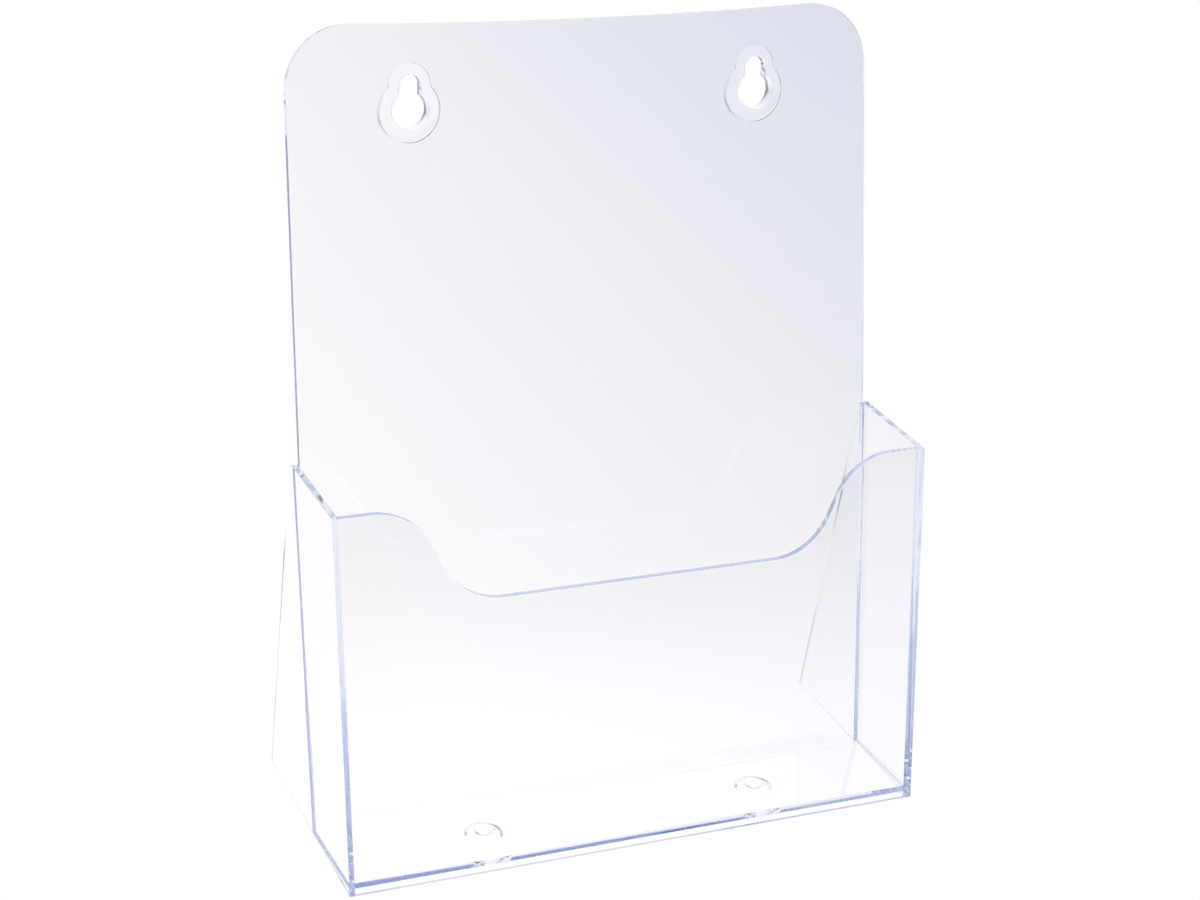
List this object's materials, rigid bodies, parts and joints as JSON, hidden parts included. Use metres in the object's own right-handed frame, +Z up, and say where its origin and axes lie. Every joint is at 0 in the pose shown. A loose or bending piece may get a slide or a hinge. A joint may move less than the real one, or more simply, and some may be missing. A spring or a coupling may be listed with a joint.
{
  "type": "brochure rack",
  "caption": "Clear plastic leaflet rack: an open pocket with a dipped front, a tall leaning back with keyholes, and side wings that prop it up.",
  "frame": {"origin": "on the table under the middle of the rack's bounding box", "axes": "+Z up; the open front of the pocket faces -Y; X runs across the rack, which is symmetric about X = 0"},
  "size_m": [0.235, 0.1168, 0.2846],
  "materials": {
    "clear_plastic": "polished, water-clear, with a faint blue tint at the edges"
  },
  "bodies": {
    "root": {"back_panel": "clear_plastic", "front_panel": "clear_plastic", "left_side_wall": "clear_plastic", "right_side_wall": "clear_plastic", "left_rear_wing": "clear_plastic", "right_rear_wing": "clear_plastic", "pocket_floor": "clear_plastic", "left_keyhole_boss": "clear_plastic", "right_keyhole_boss": "clear_plastic", "left_floor_boss": "clear_plastic", "right_floor_boss": "clear_plastic"}
  },
  "joints": []
}
